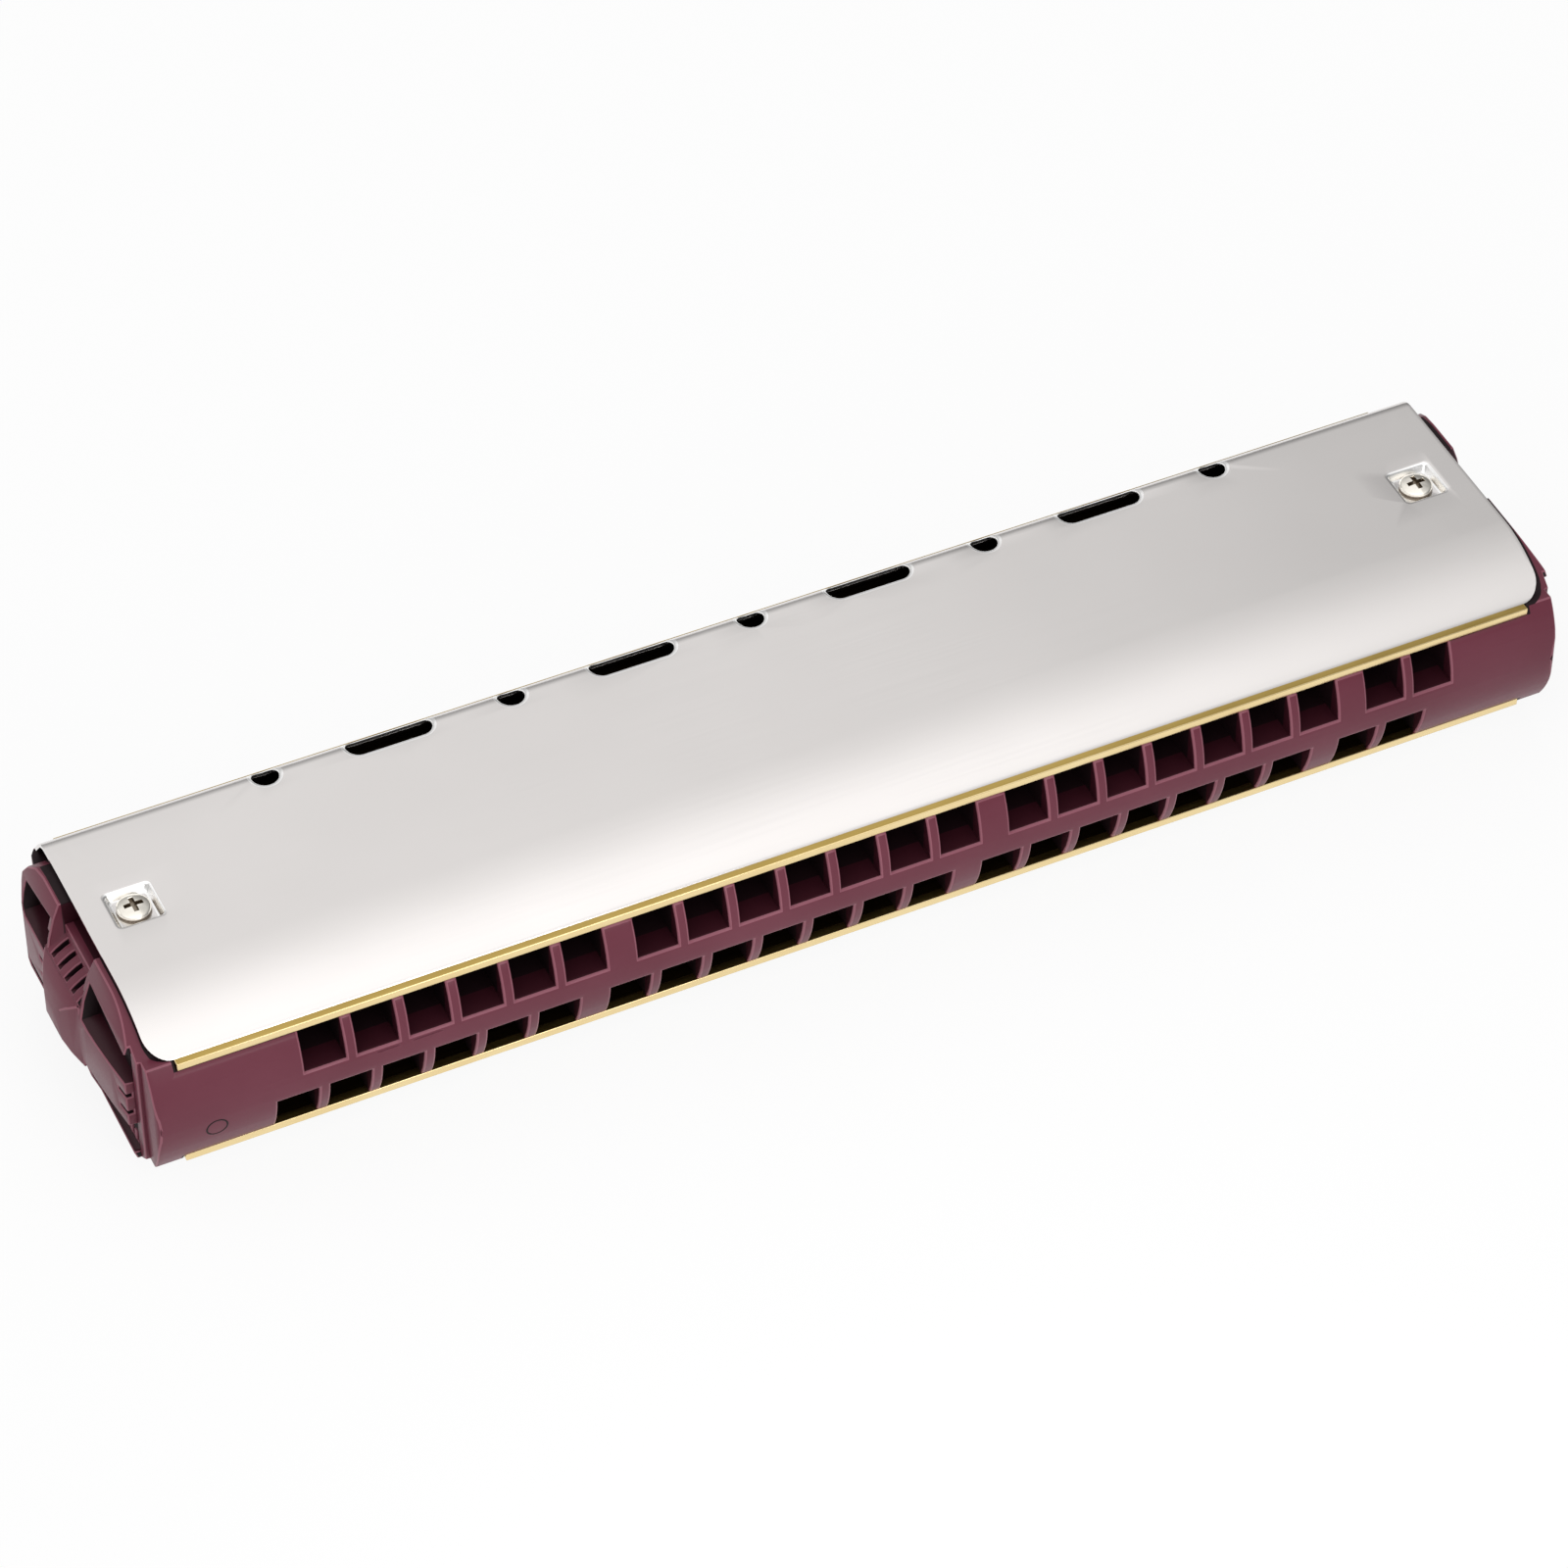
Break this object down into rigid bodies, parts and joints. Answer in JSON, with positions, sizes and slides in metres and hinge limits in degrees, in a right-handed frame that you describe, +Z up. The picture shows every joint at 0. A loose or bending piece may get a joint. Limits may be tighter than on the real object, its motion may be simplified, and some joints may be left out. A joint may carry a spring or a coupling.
{
  "type": "chromatic harmonica",
  "caption": "Slideless chromatic harmonica: two staggered rows of mouth holes in a dark red plastic comb, brass reed plates and polished steel covers with vents along the back.",
  "frame": {"origin": "on the flat of the lower cover that the harmonica rests on, under the middle of the comb", "axes": "+X along the rows of holes from the bass end to the treble end, -Y out of the mouth holes, +Z up through the upper cover"},
  "size_m": [0.2198, 0.0496, 0.0284],
  "materials": {
    "comb_plastic": "moulded dark red ABS, satin with a slight shine",
    "plate_brass": "milled bare brass sheet",
    "reed_brass": "filed spring brass",
    "cover_steel": "polished stainless sheet",
    "screw_nickel": "nickel-plated steel"
  },
  "bodies": {
    "harmonica_body": {"comb": "comb_plastic", "upper_reed_plate": "plate_brass", "upper_cover": "cover_steel", "upper_cover_screw_left": "screw_nickel", "upper_cover_screw_right": "screw_nickel", "upper_plate_screw_1": "screw_nickel", "upper_plate_screw_2": "screw_nickel", "upper_plate_screw_3": "screw_nickel", "lower_reed_plate": "plate_brass", "lower_cover": "cover_steel", "lower_cover_screw_left": "screw_nickel", "lower_cover_screw_right": "screw_nickel", "lower_plate_screw_1": "screw_nickel", "lower_plate_screw_2": "screw_nickel", "lower_plate_screw_3": "screw_nickel"},
    "upper_reed_01": {"upper_reed_01": "reed_brass"},
    "upper_reed_02": {"upper_reed_02": "reed_brass"},
    "upper_reed_03": {"upper_reed_03": "reed_brass"},
    "upper_reed_04": {"upper_reed_04": "reed_brass"},
    "upper_reed_05": {"upper_reed_05": "reed_brass"},
    "upper_reed_06": {"upper_reed_06": "reed_brass"},
    "upper_reed_07": {"upper_reed_07": "reed_brass"},
    "upper_reed_08": {"upper_reed_08": "reed_brass"},
    "upper_reed_09": {"upper_reed_09": "reed_brass"},
    "upper_reed_10": {"upper_reed_10": "reed_brass"},
    "upper_reed_11": {"upper_reed_11": "reed_brass"},
    "upper_reed_12": {"upper_reed_12": "reed_brass"},
    "upper_reed_13": {"upper_reed_13": "reed_brass"},
    "upper_reed_14": {"upper_reed_14": "reed_brass"},
    "upper_reed_15": {"upper_reed_15": "reed_brass"},
    "upper_reed_16": {"upper_reed_16": "reed_brass"},
    "upper_reed_17": {"upper_reed_17": "reed_brass"},
    "upper_reed_18": {"upper_reed_18": "reed_brass"},
    "upper_reed_19": {"upper_reed_19": "reed_brass"},
    "upper_reed_20": {"upper_reed_20": "reed_brass"},
    "upper_reed_21": {"upper_reed_21": "reed_brass"},
    "upper_reed_22": {"upper_reed_22": "reed_brass"},
    "lower_reed_01": {"lower_reed_01": "reed_brass"},
    "lower_reed_02": {"lower_reed_02": "reed_brass"},
    "lower_reed_03": {"lower_reed_03": "reed_brass"},
    "lower_reed_04": {"lower_reed_04": "reed_brass"},
    "lower_reed_05": {"lower_reed_05": "reed_brass"},
    "lower_reed_06": {"lower_reed_06": "reed_brass"},
    "lower_reed_07": {"lower_reed_07": "reed_brass"},
    "lower_reed_08": {"lower_reed_08": "reed_brass"},
    "lower_reed_09": {"lower_reed_09": "reed_brass"},
    "lower_reed_10": {"lower_reed_10": "reed_brass"},
    "lower_reed_11": {"lower_reed_11": "reed_brass"},
    "lower_reed_12": {"lower_reed_12": "reed_brass"},
    "lower_reed_13": {"lower_reed_13": "reed_brass"},
    "lower_reed_14": {"lower_reed_14": "reed_brass"},
    "lower_reed_15": {"lower_reed_15": "reed_brass"},
    "lower_reed_16": {"lower_reed_16": "reed_brass"},
    "lower_reed_17": {"lower_reed_17": "reed_brass"},
    "lower_reed_18": {"lower_reed_18": "reed_brass"},
    "lower_reed_19": {"lower_reed_19": "reed_brass"},
    "lower_reed_20": {"lower_reed_20": "reed_brass"},
    "lower_reed_21": {"lower_reed_21": "reed_brass"},
    "lower_reed_22": {"lower_reed_22": "reed_brass"}
  },
  "joints": [
    {"name": "upper_reed_01_flex", "type": "hinge", "parent": "harmonica_body", "child": "upper_reed_01", "pos_m": [-0.08103, 0.01047, 0.02205], "axis": [1, 0, 0], "range_deg": [-4, 4], "stiffness_Nm_per_rad": 0.001},
    {"name": "upper_reed_02_flex", "type": "hinge", "parent": "harmonica_body", "child": "upper_reed_02", "pos_m": [-0.07353, -0.01353, 0.02375], "axis": [1, 0, 0], "range_deg": [-4, 4], "stiffness_Nm_per_rad": 0.001},
    {"name": "upper_reed_03_flex", "type": "hinge", "parent": "harmonica_body", "child": "upper_reed_03", "pos_m": [-0.06603, 0.00933, 0.02205], "axis": [1, 0, 0], "range_deg": [-4, 4], "stiffness_Nm_per_rad": 0.001},
    {"name": "upper_reed_04_flex", "type": "hinge", "parent": "harmonica_body", "child": "upper_reed_04", "pos_m": [-0.05853, -0.01353, 0.02375], "axis": [1, 0, 0], "range_deg": [-4, 4], "stiffness_Nm_per_rad": 0.001},
    {"name": "upper_reed_05_flex", "type": "hinge", "parent": "harmonica_body", "child": "upper_reed_05", "pos_m": [-0.05103, 0.00819, 0.02205], "axis": [1, 0, 0], "range_deg": [-4, 4], "stiffness_Nm_per_rad": 0.001},
    {"name": "upper_reed_06_flex", "type": "hinge", "parent": "harmonica_body", "child": "upper_reed_06", "pos_m": [-0.04353, -0.01353, 0.02375], "axis": [1, 0, 0], "range_deg": [-4, 4], "stiffness_Nm_per_rad": 0.001},
    {"name": "upper_reed_07_flex", "type": "hinge", "parent": "harmonica_body", "child": "upper_reed_07", "pos_m": [-0.03316, 0.00705, 0.02205], "axis": [1, 0, 0], "range_deg": [-4, 4], "stiffness_Nm_per_rad": 0.001},
    {"name": "upper_reed_08_flex", "type": "hinge", "parent": "harmonica_body", "child": "upper_reed_08", "pos_m": [-0.02566, -0.01353, 0.02375], "axis": [1, 0, 0], "range_deg": [-4, 4], "stiffness_Nm_per_rad": 0.001},
    {"name": "upper_reed_09_flex", "type": "hinge", "parent": "harmonica_body", "child": "upper_reed_09", "pos_m": [-0.01816, 0.0059, 0.02205], "axis": [1, 0, 0], "range_deg": [-4, 4], "stiffness_Nm_per_rad": 0.001},
    {"name": "upper_reed_10_flex", "type": "hinge", "parent": "harmonica_body", "child": "upper_reed_10", "pos_m": [-0.01066, -0.01353, 0.02375], "axis": [1, 0, 0], "range_deg": [-4, 4], "stiffness_Nm_per_rad": 0.001},
    {"name": "upper_reed_11_flex", "type": "hinge", "parent": "harmonica_body", "child": "upper_reed_11", "pos_m": [-0.00316, 0.00476, 0.02205], "axis": [1, 0, 0], "range_deg": [-4, 4], "stiffness_Nm_per_rad": 0.001},
    {"name": "upper_reed_12_flex", "type": "hinge", "parent": "harmonica_body", "child": "upper_reed_12", "pos_m": [0.00434, -0.01353, 0.02375], "axis": [1, 0, 0], "range_deg": [-4, 4], "stiffness_Nm_per_rad": 0.001},
    {"name": "upper_reed_13_flex", "type": "hinge", "parent": "harmonica_body", "child": "upper_reed_13", "pos_m": [0.01184, 0.00362, 0.02205], "axis": [1, 0, 0], "range_deg": [-4, 4], "stiffness_Nm_per_rad": 0.001},
    {"name": "upper_reed_14_flex", "type": "hinge", "parent": "harmonica_body", "child": "upper_reed_14", "pos_m": [0.02222, -0.01353, 0.02375], "axis": [1, 0, 0], "range_deg": [-4, 4], "stiffness_Nm_per_rad": 0.001},
    {"name": "upper_reed_15_flex", "type": "hinge", "parent": "harmonica_body", "child": "upper_reed_15", "pos_m": [0.02972, 0.00248, 0.02205], "axis": [1, 0, 0], "range_deg": [-4, 4], "stiffness_Nm_per_rad": 0.001},
    {"name": "upper_reed_16_flex", "type": "hinge", "parent": "harmonica_body", "child": "upper_reed_16", "pos_m": [0.03722, -0.01353, 0.02375], "axis": [1, 0, 0], "range_deg": [-4, 4], "stiffness_Nm_per_rad": 0.001},
    {"name": "upper_reed_17_flex", "type": "hinge", "parent": "harmonica_body", "child": "upper_reed_17", "pos_m": [0.04472, 0.00133, 0.02205], "axis": [1, 0, 0], "range_deg": [-4, 4], "stiffness_Nm_per_rad": 0.001},
    {"name": "upper_reed_18_flex", "type": "hinge", "parent": "harmonica_body", "child": "upper_reed_18", "pos_m": [0.05222, -0.01353, 0.02375], "axis": [1, 0, 0], "range_deg": [-4, 4], "stiffness_Nm_per_rad": 0.001},
    {"name": "upper_reed_19_flex", "type": "hinge", "parent": "harmonica_body", "child": "upper_reed_19", "pos_m": [0.05972, 0.00019, 0.02205], "axis": [1, 0, 0], "range_deg": [-4, 4], "stiffness_Nm_per_rad": 0.001},
    {"name": "upper_reed_20_flex", "type": "hinge", "parent": "harmonica_body", "child": "upper_reed_20", "pos_m": [0.06722, -0.01353, 0.02375], "axis": [1, 0, 0], "range_deg": [-4, 4], "stiffness_Nm_per_rad": 0.001},
    {"name": "upper_reed_21_flex", "type": "hinge", "parent": "harmonica_body", "child": "upper_reed_21", "pos_m": [0.07759, -0.00095, 0.02205], "axis": [1, 0, 0], "range_deg": [-4, 4], "stiffness_Nm_per_rad": 0.001},
    {"name": "upper_reed_22_flex", "type": "hinge", "parent": "harmonica_body", "child": "upper_reed_22", "pos_m": [0.08509, -0.01353, 0.02375], "axis": [1, 0, 0], "range_deg": [-4, 4], "stiffness_Nm_per_rad": 0.001},
    {"name": "lower_reed_01_flex", "type": "hinge", "parent": "harmonica_body", "child": "lower_reed_01", "pos_m": [-0.08509, 0.01047, 0.00635], "axis": [1, 0, 0], "range_deg": [-4, 4], "stiffness_Nm_per_rad": 0.001},
    {"name": "lower_reed_02_flex", "type": "hinge", "parent": "harmonica_body", "child": "lower_reed_02", "pos_m": [-0.07759, -0.01353, 0.00465], "axis": [1, 0, 0], "range_deg": [-4, 4], "stiffness_Nm_per_rad": 0.001},
    {"name": "lower_reed_03_flex", "type": "hinge", "parent": "harmonica_body", "child": "lower_reed_03", "pos_m": [-0.07009, 0.00933, 0.00635], "axis": [1, 0, 0], "range_deg": [-4, 4], "stiffness_Nm_per_rad": 0.001},
    {"name": "lower_reed_04_flex", "type": "hinge", "parent": "harmonica_body", "child": "lower_reed_04", "pos_m": [-0.06259, -0.01353, 0.00465], "axis": [1, 0, 0], "range_deg": [-4, 4], "stiffness_Nm_per_rad": 0.001},
    {"name": "lower_reed_05_flex", "type": "hinge", "parent": "harmonica_body", "child": "lower_reed_05", "pos_m": [-0.05509, 0.00819, 0.00635], "axis": [1, 0, 0], "range_deg": [-4, 4], "stiffness_Nm_per_rad": 0.001},
    {"name": "lower_reed_06_flex", "type": "hinge", "parent": "harmonica_body", "child": "lower_reed_06", "pos_m": [-0.04759, -0.01353, 0.00465], "axis": [1, 0, 0], "range_deg": [-4, 4], "stiffness_Nm_per_rad": 0.001},
    {"name": "lower_reed_07_flex", "type": "hinge", "parent": "harmonica_body", "child": "lower_reed_07", "pos_m": [-0.03722, 0.00705, 0.00635], "axis": [1, 0, 0], "range_deg": [-4, 4], "stiffness_Nm_per_rad": 0.001},
    {"name": "lower_reed_08_flex", "type": "hinge", "parent": "harmonica_body", "child": "lower_reed_08", "pos_m": [-0.02972, -0.01353, 0.00465], "axis": [1, 0, 0], "range_deg": [-4, 4], "stiffness_Nm_per_rad": 0.001},
    {"name": "lower_reed_09_flex", "type": "hinge", "parent": "harmonica_body", "child": "lower_reed_09", "pos_m": [-0.02222, 0.0059, 0.00635], "axis": [1, 0, 0], "range_deg": [-4, 4], "stiffness_Nm_per_rad": 0.001},
    {"name": "lower_reed_10_flex", "type": "hinge", "parent": "harmonica_body", "child": "lower_reed_10", "pos_m": [-0.01472, -0.01353, 0.00465], "axis": [1, 0, 0], "range_deg": [-4, 4], "stiffness_Nm_per_rad": 0.001},
    {"name": "lower_reed_11_flex", "type": "hinge", "parent": "harmonica_body", "child": "lower_reed_11", "pos_m": [-0.00722, 0.00476, 0.00635], "axis": [1, 0, 0], "range_deg": [-4, 4], "stiffness_Nm_per_rad": 0.001},
    {"name": "lower_reed_12_flex", "type": "hinge", "parent": "harmonica_body", "child": "lower_reed_12", "pos_m": [0.00028, -0.01353, 0.00465], "axis": [1, 0, 0], "range_deg": [-4, 4], "stiffness_Nm_per_rad": 0.001},
    {"name": "lower_reed_13_flex", "type": "hinge", "parent": "harmonica_body", "child": "lower_reed_13", "pos_m": [0.00778, 0.00362, 0.00635], "axis": [1, 0, 0], "range_deg": [-4, 4], "stiffness_Nm_per_rad": 0.001},
    {"name": "lower_reed_14_flex", "type": "hinge", "parent": "harmonica_body", "child": "lower_reed_14", "pos_m": [0.01816, -0.01353, 0.00465], "axis": [1, 0, 0], "range_deg": [-4, 4], "stiffness_Nm_per_rad": 0.001},
    {"name": "lower_reed_15_flex", "type": "hinge", "parent": "harmonica_body", "child": "lower_reed_15", "pos_m": [0.02566, 0.00248, 0.00635], "axis": [1, 0, 0], "range_deg": [-4, 4], "stiffness_Nm_per_rad": 0.001},
    {"name": "lower_reed_16_flex", "type": "hinge", "parent": "harmonica_body", "child": "lower_reed_16", "pos_m": [0.03316, -0.01353, 0.00465], "axis": [1, 0, 0], "range_deg": [-4, 4], "stiffness_Nm_per_rad": 0.001},
    {"name": "lower_reed_17_flex", "type": "hinge", "parent": "harmonica_body", "child": "lower_reed_17", "pos_m": [0.04066, 0.00133, 0.00635], "axis": [1, 0, 0], "range_deg": [-4, 4], "stiffness_Nm_per_rad": 0.001},
    {"name": "lower_reed_18_flex", "type": "hinge", "parent": "harmonica_body", "child": "lower_reed_18", "pos_m": [0.04816, -0.01353, 0.00465], "axis": [1, 0, 0], "range_deg": [-4, 4], "stiffness_Nm_per_rad": 0.001},
    {"name": "lower_reed_19_flex", "type": "hinge", "parent": "harmonica_body", "child": "lower_reed_19", "pos_m": [0.05566, 0.00019, 0.00635], "axis": [1, 0, 0], "range_deg": [-4, 4], "stiffness_Nm_per_rad": 0.001},
    {"name": "lower_reed_20_flex", "type": "hinge", "parent": "harmonica_body", "child": "lower_reed_20", "pos_m": [0.06316, -0.01353, 0.00465], "axis": [1, 0, 0], "range_deg": [-4, 4], "stiffness_Nm_per_rad": 0.001},
    {"name": "lower_reed_21_flex", "type": "hinge", "parent": "harmonica_body", "child": "lower_reed_21", "pos_m": [0.07353, -0.00095, 0.00635], "axis": [1, 0, 0], "range_deg": [-4, 4], "stiffness_Nm_per_rad": 0.001},
    {"name": "lower_reed_22_flex", "type": "hinge", "parent": "harmonica_body", "child": "lower_reed_22", "pos_m": [0.08103, -0.01353, 0.00465], "axis": [1, 0, 0], "range_deg": [-4, 4], "stiffness_Nm_per_rad": 0.001}
  ]
}
